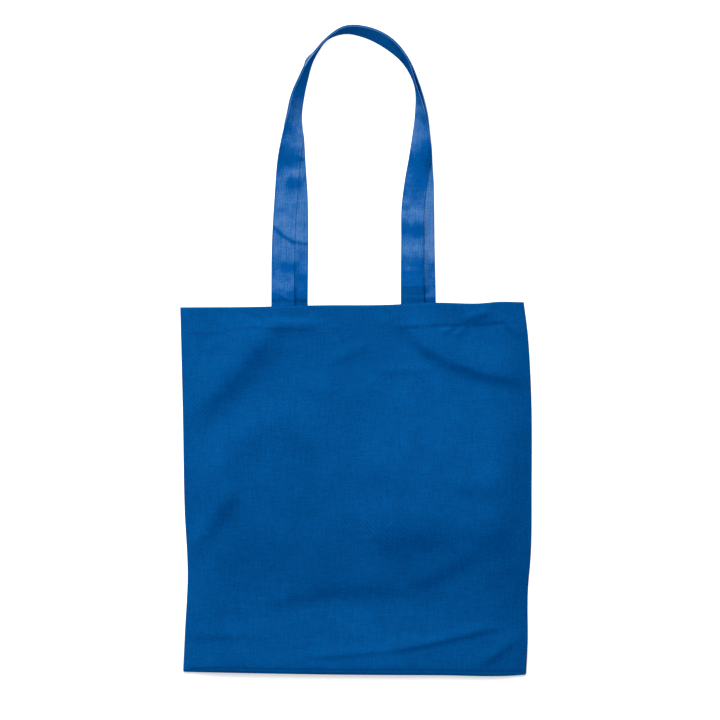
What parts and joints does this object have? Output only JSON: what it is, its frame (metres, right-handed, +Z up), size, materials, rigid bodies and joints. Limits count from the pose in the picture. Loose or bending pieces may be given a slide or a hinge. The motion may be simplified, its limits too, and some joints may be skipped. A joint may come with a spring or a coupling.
{
  "type": "tote bag",
  "caption": "Plain cotton tote bag with long shoulder straps, empty and laid flat on its back panel, open at the mouth.",
  "frame": {"origin": "on the flat underside of the back panel, at the middle of the bag's body", "axes": "+X across the bag to the right, +Y from the bottom fold towards the straps, +Z up from the surface it lies on"},
  "size_m": [0.3887, 0.7203, 0.0285],
  "materials": {
    "body_cotton": "matt plain weave, royal blue",
    "strap_cotton": "matt plain weave, royal blue"
  },
  "bodies": {
    "root": {"bag_body": "body_cotton", "front_strap": "strap_cotton", "rear_strap": "strap_cotton"}
  },
  "joints": []
}
